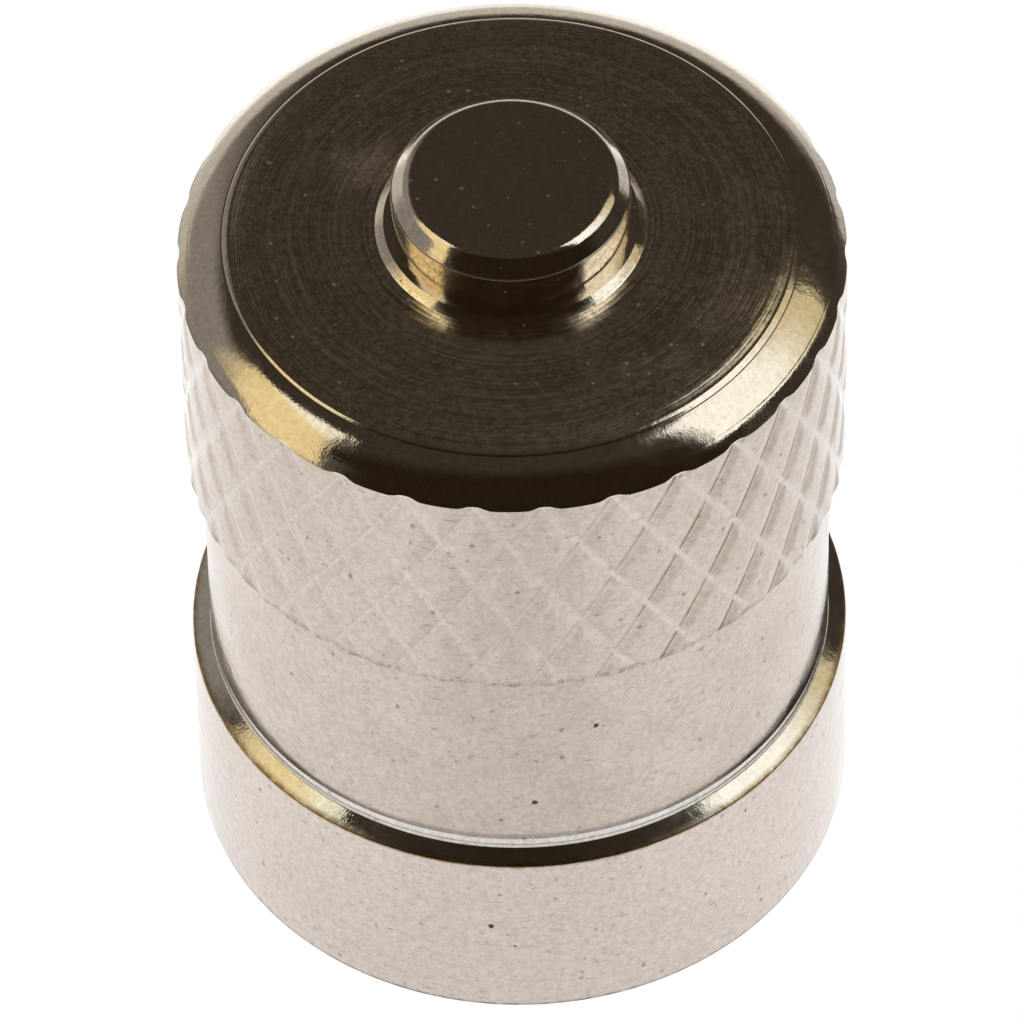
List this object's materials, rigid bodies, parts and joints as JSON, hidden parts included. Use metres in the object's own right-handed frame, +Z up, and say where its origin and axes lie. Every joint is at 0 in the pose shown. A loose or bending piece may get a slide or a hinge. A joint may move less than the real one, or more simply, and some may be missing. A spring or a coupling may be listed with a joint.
{
  "type": "tyre valve cap",
  "caption": "Round plated brass screw cap with a plain collar, a diamond-knurled grip band and a small nub on top, threaded inside to seal a tyre valve.",
  "frame": {"origin": "middle of the open mouth, on the surface that the cap stands on", "axes": "+Z up along the thread's axis, from the mouth to the nub; the cap is round, so X and Y are free"},
  "size_m": [0.0102, 0.0102, 0.0138],
  "materials": {
    "plated_brass": "nickel plated, polished on the turned faces, with fine scratches, pits and brass showing at the edges",
    "seal_rubber": "matt black, soft"
  },
  "bodies": {
    "root": {"cap_body": "plated_brass", "sealing_washer": "seal_rubber"}
  },
  "joints": []
}
